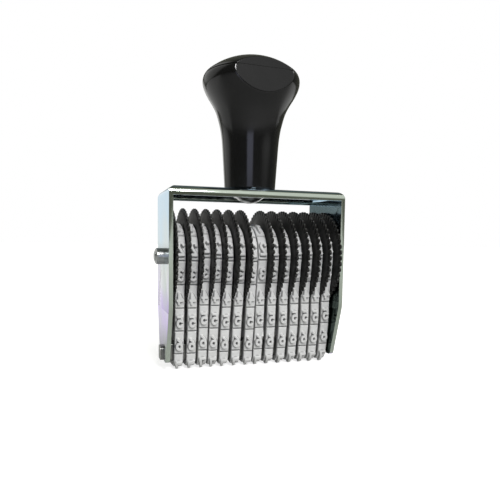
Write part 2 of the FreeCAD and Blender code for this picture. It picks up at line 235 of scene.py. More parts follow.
def place(name, mesh, finish, body, slot, *nodes):
    """Puts a mesh into the scene as a piece that rides on a body and stands for CAD nodes."""
    piece = bpy.data.objects.new(name, mesh)
    bpy.context.scene.collection.objects.link(piece)
    mesh.materials.append(finish)
    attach(piece, body)
    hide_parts(*nodes)
    return piece


def smoothstep(value, low, high):
    """Runs from 0 at low to 1 at high, level at both ends."""
    t = np.clip((value - low) / (high - low), 0.0, 1.0)
    return t * t * (3 - 2 * t)


def ring(radius, height, angles, axis):
    """Points at a radius from an axis and a height along it, for arrays that broadcast."""
    a = radius * np.cos(angles)
    b = radius * np.sin(angles)
    c = height + np.zeros_like(a)
    return np.stack([a, b, c] if axis == "Z" else [c, a, b], -1)


# Digits

def arc(x, y, rx, ry, start, end, count=11):
    """Points on an ellipse round (x, y), from a start to an end angle in degrees."""
    a = np.radians(np.linspace(start, end, count))
    return list(zip(x + rx * np.cos(a), y + ry * np.sin(a)))


def digit_strokes():
    """The centre lines of each cell's figure in a box from -1 to 1 each way."""
    bowl = arc(0, -0.42, 0.95, 0.58, 90, -270, 17)
    six = [(-0.93, -0.5), (-0.75, 0.1), (-0.3, 0.62), (0.6, 1.0)]
    return {
        "1": [[(-0.55, 0.55), (0.15, 1.0), (0.15, -1.0)]],
        "2": [arc(0, 0.45, 0.9, 0.55, 165, -35) + [(-0.95, -1.0), (0.95, -1.0)]],
        "3": [arc(-0.05, 0.5, 0.85, 0.5, 150, -90), arc(-0.05, -0.5, 0.95, 0.5, 90, -150)],
        "4": [[(0.45, -1.0), (0.45, 1.0), (-0.95, -0.4), (0.95, -0.4)]],
        "5": [[(0.85, 1.0), (-0.7, 1.0), (-0.8, 0.05)] + arc(0, -0.38, 0.9, 0.62, 130, -150, 13)],
        "6": [bowl, six],
        "7": [[(-0.9, 1.0), (0.9, 1.0), (-0.15, -1.0)]],
        "8": [arc(0, 0.5, 0.78, 0.5, 0, 360, 15), arc(0, -0.48, 0.92, 0.52, 0, 360, 15)],
        "9": [[(-x, -y) for x, y in bowl], [(-x, -y) for x, y in six]],
        "0": [arc(0, 0, 0.85, 1.0, 0, 360, 21)],
        "-": [[(-0.7, 0.0), (0.7, 0.0)]],
        "/": [[(-0.75, -1.0), (0.75, 1.0)]],
        ".": [[(0.0, -0.95), (0.02, -0.95)]],
        " ": [],
    }


# Bands

# The figures from the cell at the front corner of the print face up the front, over the
# wheel and down the back
CELL_ORDER = "7654321./- 098"

# Points along a cell and across a band
CELL_ROWS, BAND_COLUMNS = 64, 33

# Where a groove's wall begins and ends, as shares of its width, how much of a digit's wall
# lies inside its stroke, where the painted shadow below a stroke fades, as shares of the
# stroke, and how far a rounded edge's middle point lies in
GROOVE_SHARES = (0.3, 0.75)
WALL_SHARE = 0.35
SHADOW_DROP_SHARES = (0.4, 0.65)
EDGE_SHARE = 0.3

# How closely strokes must surround a hollow before ink residue and painted shade show in it
# and when it is full; how dark the grooves are painted (ink residue and painted shade) and
# the painted shadow below the strokes; and how dark the painted shade on a band's sides is
HOLLOW_RANGE = (0.27, 0.47)
GROOVE_AND_SHADOW_DARKNESS = 0.8
SHADE_ON_SIDES = 0.7


def distance_to(strokes, x, y):
    """The distance from each point to the nearest stroke: for each straight run, the foot
    of the perpendicular is kept between its ends."""
    nearest = np.full(np.broadcast(x, y).shape, np.inf)
    for line in strokes:
        line = np.array(line)
        start, step = line[:-1], np.diff(line, axis=0)
        px = x[..., None] - start[:, 0]
        py = y[..., None] - start[:, 1]
        share = np.clip((px * step[:, 0] + py * step[:, 1]) / (step ** 2).sum(1), 0, 1)
        gap = np.hypot(px - share * step[:, 0], py - share * step[:, 1])
        nearest = np.minimum(nearest, gap.min(-1))
    return nearest


class StampLoop:
    """The line that a band follows: flat under the bridge, round its corner, straight up
    to the wheel and round the wheel, the same in front and behind."""

    def __init__(self, sizes):
        self.seat = sizes.seat_radius + sizes.belt / 2
        self.drum = sizes.drum + sizes.belt / 2
        self.seat_y, self.seat_z, self.drum_z = sizes.seat_y, sizes.seat_z, sizes.axle_height
        rise = self.drum_z - self.seat_z
        apart = math.hypot(rise, self.seat_y)
        growth = self.drum - self.seat
        self.turn = math.atan2(self.seat_y, rise) - math.asin(growth / apart)
        self.straight = math.sqrt(apart ** 2 - growth ** 2)
        self.corner_end = self.seat_y + self.seat * (self.turn + math.pi / 2)
        self.straight_end = self.corner_end + self.straight
        self.whole = 2 * (self.straight_end + self.drum * (math.pi / 2 - self.turn))

    def at(self, run):
        """Place and outward direction, in the plane across the stamp, at a run along the
        middle of the belt. The run is nothing under the middle and grows up the front."""
        run = (run + self.whole / 2) % self.whole - self.whole / 2
        side = np.where(run < 0, -1.0, 1.0)
        s = np.abs(run)
        corner = -math.pi / 2 + (np.clip(s, self.seat_y, self.corner_end) - self.seat_y) / self.seat
        round_drum = self.turn + np.clip(s - self.straight_end, 0, None) / self.drum
        angle = np.where(s <= self.straight_end, corner, round_drum)
        up = np.clip(s - self.corner_end, 0, self.straight)
        y = np.minimum(s, self.seat_y) + self.seat * np.cos(angle) - up * math.sin(self.turn)
        z = self.seat_z + self.seat * np.sin(angle) + up * math.cos(self.turn)
        on_drum = s > self.straight_end
        y = np.where(on_drum, self.drum * np.cos(angle), y)
        z = np.where(on_drum, self.drum_z + self.drum * np.sin(angle), z)
        return -side * y, z, -side * np.cos(angle), np.sin(angle)


def bell(places, spread):
    """Weights that average over neighbouring places, falling off as a bell curve."""
    weights = np.exp(-((places - places.T) / spread) ** 2)
    return weights / weights.sum(1, keepdims=True)


def band_relief(sizes, along, across, figure):
    """Height over the belt in one cell: a pad with sloping sides and a groove at each end,
    and on it the figure's strokes as flat lines with steep walls. Also how dark the rubber is
    painted at a point, from 0 on top to 1: ink residue and painted shade in a hollow between
    strokes and in the grooves, and a painted shadow right below a stroke."""
    cell = along[-1, 0] - along[0, 0] + along[1, 0] - along[0, 0]
    to_end = np.minimum(along, cell - along)
    side = 1 - smoothstep(np.abs(across), sizes.pad_face / 2, sizes.pad_root / 2)
    ends = smoothstep(to_end / sizes.groove, *GROOVE_SHARES)
    height = sizes.pad_height * side - sizes.groove_depth * (1 - ends)
    scale_x = (sizes.digit_width - sizes.stroke) / 2
    scale_y = (sizes.digit_height - sizes.stroke) / 2
    strokes = [[(x * scale_x, y * scale_y) for x, y in line] for line in digit_strokes()[figure]]
    away = distance_to(strokes, -across, along - sizes.digit_rise)
    half = sizes.stroke / 2
    top = 1 - smoothstep(away, half - sizes.wall * WALL_SHARE, half + sizes.wall)
    height = height + (sizes.digit_relief + sizes.pad_height - height) * top
    # Ink residue and painted shade where strokes close round a hollow, such as a counter
    enclosed = bell(along, sizes.stroke) @ top @ bell(across.T, sizes.stroke)
    # A painted shadow just below each stroke, as if lit from above
    under = distance_to(strokes, -across, along + sizes.shadow_drop - sizes.digit_rise)
    darkened = 1 - smoothstep(under / sizes.stroke, *SHADOW_DROP_SHARES)
    hollow = (1 - top) * np.maximum(smoothstep(enclosed, *HOLLOW_RANGE), GROOVE_AND_SHADOW_DARKNESS * darkened)
    # The grooves between cells get ink residue and painted shade too
    return height, np.maximum(hollow, GROOVE_AND_SHADOW_DARKNESS * (1 - ends))


def band_section(sizes, columns):
    """A band's cross-section: sideways places of the lower side with its right edge, of the
    print side and of the left edge, and the heights of the first and the last."""
    half, edge = sizes.width / 2, sizes.edge
    near = edge * EDGE_SHARE
    right_x = [near - half, edge - half, half - edge, half - near, half, half]
    right_h = [near, 0.0, 0.0, near, edge, sizes.belt - edge]
    across = np.linspace(half - edge, edge - half, columns)[None, :]
    x = np.r_[right_x, half - near, across[0], near - half, -half, -half]
    return across, x, np.array(right_h), np.array([sizes.belt - edge, edge])


def band_mesh(name, sizes, centre_x, front_lean, back_lean, phase):
    """One band: its cross-section, a rounded strip whose upper side carries the relief, goes
    once round the loop. A point stands at the loop's place plus its height times the
    loop's outward direction. It leans aside the more the lower it lies under the rim, and
    the lean in front changes to the one behind under the bridge."""
    loop = StampLoop(sizes)
    pitch = loop.whole / BANDS
    along = (np.arange(CELL_ROWS) / CELL_ROWS * pitch)[:, None]
    across, x, right_h, left_h = band_section(sizes, BAND_COLUMNS)
    cells = [band_relief(sizes, along, across, figure) for figure in CELL_ORDER]
    relief = np.concatenate([c[0] for c in cells])
    darkness = np.concatenate([c[1] for c in cells])
    run = np.arange(CELL_ROWS * BANDS) / CELL_ROWS * pitch - phase
    ones = np.ones((len(run), 1))
    shoulder = ones * (sizes.belt - sizes.edge * EDGE_SHARE)
    h = np.concatenate([ones * right_h, shoulder, sizes.belt + relief, shoulder, ones * left_h], 1)
    # The band's edges and its underside are painted with shade
    sides = ((0, 0), (len(right_h) + 1, len(left_h) + 1))
    depth = np.pad(darkness, sides, constant_values=SHADE_ON_SIDES)
    y, z, out_y, out_z = (part[:, None] for part in loop.at(run))
    off = h - sizes.belt / 2
    up_front = ((run + loop.whole / 2) % loop.whole - loop.whole / 2)[:, None]
    front = front_lean * (1 - smoothstep(z / MM, *FRONT_LEAN_HEIGHTS))
    back = back_lean * (1 - smoothstep(z / MM, *BACK_LEAN_HEIGHTS))
    aside = centre_x + back + (front - back) * smoothstep(up_front / MM, -LEAN_CHANGE, LEAN_CHANGE)
    points = np.stack([aside + x + 0 * h, y + out_y * off, z + out_z * off], -1)
    mesh = surface(name, points, close_u=True, close_v=True)
    mark(mesh, "depth", "POINT", depth)
    return mesh


# Wheels

# Points round a tooth, the power that makes its gullet narrow, and how far the plain web
# ends below the tips, as a share of a tooth's depth
TOOTH_STEPS = 10
TOOTH_POWER = 0.55
WEB_SHARE = 1.6


def wheel_mesh(name, sizes, low, high, shift, rim_left):
    """One thumb wheel: a closed section, from the bore over the drum and the rim, goes round
    the axle. The rim's radius is the tip radius less the tooth depth times one less the
    root of a cosine's size, which gives round teeth with narrow gullets."""
    axis_z = (low[2] + high[2]) / 2
    tip = (high[2] - low[2]) / 2
    steps = sizes.teeth * TOOTH_STEPS
    angles = np.arange(steps) / steps * 2 * math.pi
    wave = np.abs(np.cos(sizes.teeth * angles / 2)) ** TOOTH_POWER
    outline = (tip - sizes.tooth_depth * (1 - wave))[:, None]
    thick, edge, near = sizes.rim, sizes.edge, sizes.edge * EDGE_SHARE
    drum_length = high[0] - low[0] - sizes.gap
    inside = tip - WEB_SHARE * sizes.tooth_depth
    section = [(0.0, sizes.bore), (0.0, inside), (0.0, outline - edge),
               (near, outline - near), (edge, outline), (thick / 2, outline + near / 2),
               (thick - edge, outline), (thick - near, outline - near), (thick, outline - edge),
               (thick, inside), (thick, sizes.drum), (drum_length - edge, sizes.drum),
               (drum_length, sizes.drum - edge), (drum_length, sizes.bore)]
    radius = np.concatenate([r + 0 * outline for _, r in section], 1)
    x = np.array([d for d, _ in section])
    x = shift + (low[0] + sizes.gap + x if rim_left else high[0] - sizes.gap - x)
    points = ring(radius, x[None, :], angles[:, None], "X")
    points[..., 2] += axis_z
    return weld(surface(name, points, close_u=True, close_v=True))


# Knob

# Where the arcs of the knob's outline meet, as shares of its height up to the widest ring
# and of how much it widens up to there, and how the flat on the front looks up and aside
NECK_HEIGHT_SHARES = (0.928, 0.83, 0.49)
NECK_GROWTH_SHARES = (0.93, 0.68, 0.136)
FACET_TILT = math.radians(7.5)
FACET_TURN = math.radians(2.3)

# How many heights the softened bend averages over
BEND_STEPS = 9

# Round the knob the points lie closer in front, where the flat ends, than behind
FRONT_REACH = math.radians(68)
FRONT_POINTS, BACK_POINTS = 250, 112

# Points up the foot's edge, the neck and the head below the seam, and over the dome. The
# head's begin at a share of the height up to the widest ring.
FOOT_POINTS, NECK_POINTS, HEAD_POINTS, DOME_POINTS = 8, 44, 62, 70
HEAD_START_SHARE = 0.6

# The flat reaches round the knob as far as its plane's direction shows at least this much,
# and beyond that counts as this far away, in metres
LEAST_FACING, FAR = 0.05, 1.0


def knob_profile(sizes, heights):
    """The knob's radius at heights over its foot: a cone up the neck, then arcs that go on
    in each other's direction to the upright at the widest ring, and the crown on top. On an
    arc the radius is that of its centre plus or less the root of its own radius squared
    less the height from it squared."""
    growth = sizes.head - sizes.foot
    knots = [(sizes.head, sizes.head_height)]
    knots += [(sizes.foot + growth * g, sizes.head_height * h)
              for h, g in zip(NECK_HEIGHT_SHARES, NECK_GROWTH_SHARES)]
    low_r, low_h = knots[-1]
    share = (heights - sizes.foot_edge) / (low_h - sizes.foot_edge)
    radius = sizes.foot + (low_r - sizes.foot) * share
    bevel = np.clip(sizes.foot_edge - heights, 0, None)
    radius = np.where(heights < sizes.foot_edge, sizes.foot - bevel, radius)
    lean = 0.0
    for (r1, h1), (r2, h2) in zip(knots, knots[1:]):
        chord = math.atan2(r1 - r2, h1 - h2)
        bend = math.hypot(r1 - r2, h1 - h2) / (2 * math.sin(chord - lean))
        centre_r = r1 - bend * math.cos(lean)
        centre_h = h1 + bend * math.sin(lean)
        sweep = np.sqrt(np.clip(bend ** 2 - (heights - centre_h) ** 2, 0, None))
        on_arc = (heights > h2) & (heights <= h1)
        radius = np.where(on_arc, centre_r + math.copysign(1, bend) * sweep, radius)
        lean = 2 * chord - lean
    return knob_crown(sizes, heights, radius)


def knob_softened(sizes, heights):
    """The knob's radius, averaged over the neighbouring heights where the neck's cone
    meets the first arc, so that the bend comes on slowly."""
    meeting = NECK_HEIGHT_SHARES[-1] * sizes.head_height
    near = 1 - smoothstep(np.abs(heights - meeting), sizes.neck_blend, 2 * sizes.neck_blend)
    steps = np.linspace(-1, 1, BEND_STEPS) * sizes.neck_blend
    mean = sum(knob_profile(sizes, heights + step) for step in steps) / len(steps)
    return knob_profile(sizes, heights) * (1 - near) + mean * near


def knob_crown(sizes, heights, radius):
    """Puts a round shoulder over the widest ring, and an arc round the knob's axis that
    leaves the shoulder without a kink. Both follow an arc's formula."""
    inset, rise, shoulder = sizes.head - sizes.shoulder, sizes.dome, sizes.shoulder
    crown = (inset ** 2 + rise ** 2 - shoulder ** 2) / (2 * (rise - shoulder))
    turn = math.atan2(crown - rise, inset)
    above = heights - sizes.head_height
    on_shoulder = inset + np.sqrt(np.clip(shoulder ** 2 - above ** 2, 0, None))
    on_crown = np.sqrt(np.clip(crown ** 2 - (above - rise + crown) ** 2, 0, None))
    radius = np.where(above > 0, on_shoulder, radius)
    return np.where(above > shoulder * math.sin(turn), on_crown, radius)


def knob_surface(name, sizes, heights, radius):
    """The knob between two heights: each radius goes round the axis, and gives way softly
    to the flat on the front, whose distance along a direction is the plane's distance
    over the cosine of the angle to it."""
    front = np.linspace(-FRONT_REACH, FRONT_REACH, FRONT_POINTS)
    back = np.linspace(FRONT_REACH, 2 * math.pi - FRONT_REACH, BACK_POINTS)[1:-1]
    angles = (np.r_[front, back] - math.pi / 2)[:, None]
    facing = -np.sin(angles - FACET_TURN) * math.cos(FACET_TILT)
    over = heights - sizes.facet_height
    plane = sizes.facet_distance * math.cos(FACET_TILT) - over * math.sin(FACET_TILT)
    flat = np.where(facing > LEAST_FACING, plane / np.maximum(facing, LEAST_FACING), FAR)
    soft = sizes.facet_edge
    blend = np.clip(0.5 - (radius - flat) / (2 * soft), 0, 1)
    limited = radius * blend + flat * (1 - blend) - soft * blend * (1 - blend)
    points = ring(limited, heights + sizes.base, angles, "Z")
    return weld(surface(name, points, close_u=True))


# Materials

# The sockets that take the two colours of a Mix node
MIX_A, MIX_B = 6, 7
WHITE = linear("#FFFFFF")

# The plate's film, in metres: the size of its patches, the heights between which it runs
# through its colours, and where along that run each one stands. Then the size of the
# rolling lines, how they are drawn out, how softly the painted shade inside ends, and how
# far the film's tint goes towards white at grazing angles.
FILM_PATCH = 22 * MM
FILM_LOW, FILM_HIGH = 6 * MM, 56 * MM
FILM_STOPS = (("plate_olive", 0.18), ("plate_warm", 0.34), ("plate", 0.5),
              ("plate_cool", 0.68), ("plate_cool", 0.86))
ROLLING_LINE = 0.8 * MM
ROLLING_SCALE = (0.12, 1.0, 1.0)
SHADE_FADE = 6 * MM
GRAZING_WHITE = 0.62

# The grain of the turned steel and of the drawn bridge, coarser than the real one so that
# it shows, and how dark its grooves are
TURNED_GRAIN, DRAWN_GRAIN = 0.6 * MM, 1.4 * MM
GROOVE_SHADE = 0.62

# Smears and grain on the rubber, and the power that keeps thin ink residue and painted shade pale
SMEAR, RUBBER_GRAIN = 3.5 * MM, 0.25 * MM
RESIDUE_AND_SHADE_POWER = 1.4

# The nylon's mottle, and on the teeth: how deep the wear and painted sheen reach, as a
# share of their depth, how much lighter (wear and painted sheen) and glossier that makes
# them, and how light the worn, sheen colour is
MOTTLE = 1.4 * MM
WEAR_AND_SHEEN_SHARE, WEAR_AND_SHEEN_LIGHT, RUBBED_GLOSS = 0.7, 0.4, -0.22
WEAR_AND_SHEEN_FACTOR = 4.5

# The lacquer's orange peel and haze, and how light the haze is
PEEL, HAZE = 3.0 * MM, 9.0 * MM
HAZE_FACTOR = 1.6


def fill(tree, made, inputs):
    """Gives each named input of a node a value, or a link from another node's output. A
    node given for an input stands for its own first output in use."""
    for key, value in inputs.items():
        if isinstance(value, bpy.types.Node):
            value = next(output for output in value.outputs if output.enabled)
        if isinstance(value, bpy.types.NodeSocket):
            tree.links.new(value, made.inputs[key])
        else:
            made.inputs[key].default_value = value


def node(tree, kind, inputs=None, **settings):
    """Adds one shader node, sets its options and fills its inputs."""
    made = tree.nodes.new("ShaderNode" + kind)
    for key, value in settings.items():
        setattr(made, key, value)
    fill(tree, made, inputs or {})
    return made


def material(name):
    """An empty material, its node tree, its main shader and the place on the piece."""
    made = bpy.data.materials.new(name)
    made.use_nodes = True
    tree = made.node_tree
    tree.nodes.clear()
    shader = node(tree, "BsdfPrincipled")
    node(tree, "OutputMaterial", {"Surface": shader})
    return made, tree, shader, node(tree, "TexCoord").outputs["Object"]


def shaded(tint, factor):
    """A colour made lighter or darker by a factor."""
    return [min(1.0, c * factor) for c in tint[:3]] + [1.0]


def plated_sheet(metals):
    """Zinc-plated sheet steel, blue passivated: bright, with a thin film that drifts from
    blue to violet and olive, an olive painted reflection on the faces that look to the front
    or back, faint rolling lines and a soft mirror, and painted shade on the inside, below a
    height that each face of the mesh carries."""
    made, tree, shader, spot = material("zinc_plated_sheet")
    height = node(tree, "SeparateXYZ", {"Vector": spot}).outputs["Z"]
    drift = node(tree, "TexNoise", {"Vector": spot, "Scale": 1 / FILM_PATCH, "Detail": 2.0})
    rise = node(tree, "MapRange", {"Value": height, "From Min": FILM_LOW, "From Max": FILM_HIGH})
    both = node(tree, "Math", {0: drift, 1: rise}, operation="ADD")
    mean = node(tree, "Math", {0: both, 1: 0.5}, operation="MULTIPLY")
    film = node(tree, "ValToRGB", {"Fac": mean})
    stops = film.color_ramp.elements
    stops.remove(stops[1])
    stops[0].position, stops[0].color = FILM_STOPS[0][1], getattr(metals, FILM_STOPS[0][0])
    for tint, position in FILM_STOPS[1:]:
        stops.new(position).color = getattr(metals, tint)
    # An olive painted reflection on the faces that look to the front or back
    cut = node(tree, "Attribute", attribute_name="cut").outputs["Fac"]
    with_reflection = node(tree, "Mix", {"Factor": cut, MIX_A: film, MIX_B: list(metals.plate_olive)},
                 data_type="RGBA")
    # Painted shade on the inside, fading out round each face's height
    stained = node(tree, "Attribute", attribute_name="stained").outputs["Fac"]
    below = node(tree, "Math", {0: stained, 1: height}, operation="SUBTRACT")
    dull = node(tree, "MapRange", {"Value": below, "From Min": -SHADE_FADE,
                                   "From Max": SHADE_FADE}, interpolation_type="SMOOTHSTEP")
    tone = node(tree, "Mix", {"Factor": dull, MIX_A: with_reflection, MIX_B: list(metals.inside_shade)},
                data_type="RGBA")
    # The film also tints grazing light, though less
    grazing = node(tree, "Mix", {"Factor": GRAZING_WHITE, MIX_A: tone, MIX_B: WHITE},
                   data_type="RGBA")
    # Rolling lines lie about 0.4 mm apart, drawn coarser than the real ones so that they show
    stretched = node(tree, "Mapping", {"Vector": spot, "Scale": ROLLING_SCALE})
    lines = node(tree, "TexNoise", {"Vector": stretched, "Scale": 1 / ROLLING_LINE, "Detail": 3.0})
    gloss = node(tree, "MapRange", {"Value": lines, "To Min": 0.08, "To Max": 0.16})
    bump = node(tree, "Bump", {"Height": lines, "Strength": 0.03, "Distance": 0.02 * MM})
    fill(tree, shader, {"Metallic": 1.0, "Specular Tint": grazing, "Base Color": tone,
                        "Roughness": gloss, "Normal": bump})
    return made


def turned_steel(name, tint, grain):
    """Turned or drawn mild steel: grey and bright, with fine lines left by the tool."""
    made, tree, shader, spot = material(name)
    lines = node(tree, "TexNoise", {"Vector": spot, "Scale": 1 / grain, "Detail": 4.0})
    tone = node(tree, "Mix", {"Factor": lines, MIX_A: list(tint),
                              MIX_B: shaded(tint, GROOVE_SHADE)}, data_type="RGBA")
    gloss = node(tree, "MapRange", {"Value": lines, "To Min": 0.2, "To Max": 0.42})
    bump = node(tree, "Bump", {"Height": lines, "Strength": 0.15, "Distance": 0.02 * MM})
    fill(tree, shader, {"Metallic": 1.0, "Base Color": tone, "Roughness": gloss, "Normal": bump})
    return made


def moulded_rubber(sizes):
    """Vulcanised number-band rubber: warm light grey and dull, with ink residue and painted
    shade between the strokes and in the grooves, a painted shadow below each stroke,
    painted shade on the band's sides and underside, and a fine talc-like grain."""
    made, tree, shader, spot = material("moulded_band_rubber")
    depth = node(tree, "Attribute", attribute_name="depth").outputs["Fac"]
    smears = node(tree, "TexNoise", {"Vector": spot, "Scale": 1 / SMEAR, "Detail": 3.0})
    grain = node(tree, "TexNoise", {"Vector": spot, "Scale": 1 / RUBBER_GRAIN, "Detail": 3.0})
    uneven = node(tree, "MapRange", {"Value": smears, "From Min": 0.3, "From Max": 0.7,
                                     "To Min": 0.75, "To Max": 1.0})
    # The mesh's depth is ink residue, painted shade and painted shadow
    dark = node(tree, "Math", {0: depth, 1: uneven}, operation="MULTIPLY")
    darkened = node(tree, "Math", {0: dark, 1: RESIDUE_AND_SHADE_POWER}, operation="POWER")
    tone = node(tree, "Mix", {"Factor": darkened, MIX_A: list(sizes.rubber),
                              MIX_B: list(sizes.residue_and_shade)}, data_type="RGBA")
    cloudy = node(tree, "MapRange", {"Value": smears, "To Min": 0.86, "To Max": 1.06})
    final = node(tree, "VectorMath", {0: tone, "Scale": cloudy}, operation="SCALE")
    gloss = node(tree, "MapRange", {"Value": grain, "To Min": 0.48, "To Max": 0.66})
    bump = node(tree, "Bump", {"Height": grain, "Strength": 0.12, "Distance": 0.03 * MM})
    fill(tree, shader, {"IOR": 1.52, "Base Color": final, "Roughness": gloss, "Normal": bump})
    return made


def moulded_nylon(sizes, axis_z, tip):
    """Injection-moulded black nylon: dark, dull and mottled on its faces, and rubbed smoother
    by fingers at the tips of the teeth, which are also painted lighter: wear and a painted
    sheen."""
    made, tree, shader, spot = material("moulded_black_nylon")
    mottle = node(tree, "TexNoise", {"Vector": spot, "Scale": 1 / MOTTLE, "Detail": 4.0})
    across = node(tree, "VectorMath", {0: spot, 1: (0, 1, 1), 2: (0, 0, -axis_z)},
                  operation="MULTIPLY_ADD")
    away = node(tree, "VectorMath", {0: across}, operation="LENGTH")
    wear_and_sheen = node(tree, "MapRange", {"Value": away, "From Max": tip,
                                     "From Min": tip - sizes.tooth_depth * WEAR_AND_SHEEN_SHARE})
    patches = node(tree, "MapRange", {"Value": mottle, "From Min": 0.35, "From Max": 0.75})
    # The tips are painted lighter: wear and a painted sheen
    light = node(tree, "Math", {0: wear_and_sheen, 1: WEAR_AND_SHEEN_LIGHT, 2: patches}, operation="MULTIPLY_ADD")
    tone = node(tree, "Mix", {"Factor": light, MIX_A: list(sizes.nylon),
                              MIX_B: shaded(sizes.nylon, WEAR_AND_SHEEN_FACTOR)}, data_type="RGBA")
    dull = node(tree, "MapRange", {"Value": mottle, "To Min": 0.42, "To Max": 0.62})
    gloss = node(tree, "Math", {0: wear_and_sheen, 1: RUBBED_GLOSS, 2: dull}, operation="MULTIPLY_ADD")
    bump = node(tree, "Bump", {"Height": mottle, "Strength": 0.3, "Distance": 0.03 * MM})
    fill(tree, shader, {"IOR": 1.53, "Specular IOR Level": 0.22, "Roughness": gloss,
                        "Base Color": tone, "Normal": bump})
    return made


def knob_lacquer(sizes):
    """Black lacquer over turned wood: deep black and wet-looking, with a slight orange peel."""
    made, tree, shader, spot = material("black_knob_lacquer")
    peel = node(tree, "TexNoise", {"Vector": spot, "Scale": 1 / PEEL, "Detail": 2.0})
    haze = node(tree, "TexNoise", {"Vector": spot, "Scale": 1 / HAZE, "Detail": 3.0})
    gloss = node(tree, "MapRange", {"Value": haze, "To Min": 0.1, "To Max": 0.17})
    tone = node(tree, "Mix", {"Factor": haze, MIX_A: list(sizes.lacquer),
                              MIX_B: shaded(sizes.lacquer, HAZE_FACTOR)}, data_type="RGBA")
    bump = node(tree, "Bump", {"Height": peel, "Strength": 0.05, "Distance": 0.05 * MM})
    fill(tree, shader, {"IOR": 1.5, "Specular IOR Level": 0.3, "Roughness": gloss,
                        "Base Color": tone, "Normal": bump})
    return made


# CAD pieces

def merged_copy(name, source):
    """A copy of a CAD node's mesh with its loose triangles joined."""
    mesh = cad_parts[source].data.copy()
    mesh.name = name
    mesh.materials.clear()
    work = bmesh.new()
    work.from_mesh(mesh)
    bmesh.ops.remove_doubles(work, verts=work.verts, dist=ONE_CORNER)
    work.to_mesh(mesh)
    work.free()
    mesh.shade_smooth()
    mesh.set_sharp_from_angle(angle=SHARP)
    return mesh


# A face looks along an axis where its direction's share along it is larger than this.
# Painted shade that ends this high, in metres, reaches no face.
FACING_SHARE = 0.7
NO_SHADE = -1.0


def mark_inside(mesh, inside_shade_top, lip_shade_top):
    """Gives each face of the frame the height round which its painted shade fades out: one for
    the side plates' inner side, another for the lips and the top on theirs, nothing outside.
    A face looks inwards where its direction points back to the middle of the frame. Also
    marks the faces that look to the front or the back, which are cut or bent edges, for an
    olive painted reflection."""
    normal, centre = np.empty((2, len(mesh.polygons), 3), np.float32)
    mesh.polygons.foreach_get("normal", normal.reshape(-1))
    mesh.polygons.foreach_get("center", centre.reshape(-1))
    middle = (centre.max(0) + centre.min(0)) / 2
    inwards = (normal * (centre - middle)).sum(1) < 0
    height = np.where(np.abs(normal[:, 0]) > FACING_SHARE, inside_shade_top, lip_shade_top)
    mark(mesh, "stained", "FACE", np.where(inwards, height, NO_SHADE))
    # Faces that look to the front or back, for the olive painted reflection
    mark(mesh, "cut", "FACE", np.abs(normal[:, 1]) > FACING_SHARE)
    return mesh


def paint(name, finish):
    """Gives a CAD node its finish."""
    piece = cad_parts[name]
    piece.data.materials.clear()
    piece.data.materials.append(finish)


# Stage

# In metres: the floor's half width, and how far from the stamp its paper turns white. Its
# mirror image does so from the first to the second place behind the stamp's middle, up to
# this brightness.
FLOOR_REACH = 4.0
WHITE_FROM, WHITE_AT = 0.05, 0.3
MIRROR_FROM, MIRROR_AT, MIRROR_GLOW = -0.05, 0.1, 0.72
PAPER_ROUGHNESS = 0.9

# Each lamp's name, place, target, width, height, the stage's value for its power, and colour
LAMPS = (("high_softbox", (0.04, -0.7, 0.6), (0, 0, 0.03), 0.2, 0.2, "key", "#FFFFFF"),
         ("right_softbox", (0.8, -0.3, 0.8), (0, 0, 0.05), 0.3, 0.3, "right", "#FFFFFF"),
         ("camera_card", (-0.3, -0.95, 0.16), (0, 0, 0.06), 0.42, 0.26, "card", "#DDE2FF"))

# For each card: the stage's value for its strength, where its middle stands as seen from
# the stamp, and how many degrees from there its light ends and is full
CARDS = (("backdrop", (-0.105, 0.995, 0.0), 17, 10),
         ("left", (-0.65, 0.545, 0.53), 38, 27),
         ("front", (0.604, -0.507, 0.616), 42, 28))

# The camera's place in metres, its turn in degrees, its picture's shift, its sensor's width
# in millimetres, and its nearest and farthest view
CAMERA_PLACE = (-0.05149, -0.16533, 0.04148)
CAMERA_TURN = (85.6336, -0.7941, -16.9906)
CAMERA_SHIFT = (0.0078, 0.06)
SENSOR = 36.0
CAMERA_CLIP = (0.005, 20.0)


def floor_paper(stage):
    """Matt white paper. The camera sees it lit up to white, fully so further off, and a
    mirror sees it so behind the stamp."""
    made, tree, shader, spot = material("matt_floor_paper")
    path = node(tree, "LightPath")
    away = node(tree, "VectorMath", {0: spot}, operation="LENGTH")
    lit = node(tree, "MapRange", {"Value": away, "From Min": WHITE_FROM, "From Max": WHITE_AT,
                                  "To Min": stage.glow, "To Max": 1.0},
               interpolation_type="SMOOTHSTEP")
    deep = node(tree, "SeparateXYZ", {"Vector": spot}).outputs["Y"]
    behind = node(tree, "MapRange", {"Value": deep, "From Min": MIRROR_FROM,
                                     "From Max": MIRROR_AT, "To Max": MIRROR_GLOW},
                  interpolation_type="SMOOTHSTEP")
    mirrored = node(tree, "Math", {0: path.outputs["Is Glossy Ray"], 1: behind},
                    operation="MULTIPLY")
    seen = node(tree, "Math", {0: path.outputs["Is Camera Ray"], 1: mirrored}, operation="MAXIMUM")
    glow = node(tree, "Math", {0: lit, 1: seen}, operation="MULTIPLY")
    fill(tree, shader, {"Roughness": PAPER_ROUGHNESS, "Base Color": list(stage.floor),
                        "Emission Color": WHITE, "Emission Strength": glow})
    return made


def lamp(name, spot, target, wide, high, power, code):
    """A soft rectangular lamp at a spot, turned to a target."""
    data = bpy.data.lights.new(name, "AREA")
    data.shape, data.size, data.size_y = "RECTANGLE", wide, high
    data.energy = power
    data.color = linear(code)[:3]
    made = bpy.data.objects.new(name, data)
    made.location = spot
    away = made.location - Vector(target)
    made.rotation_euler = away.to_track_quat("Z", "Y").to_euler()
    return made


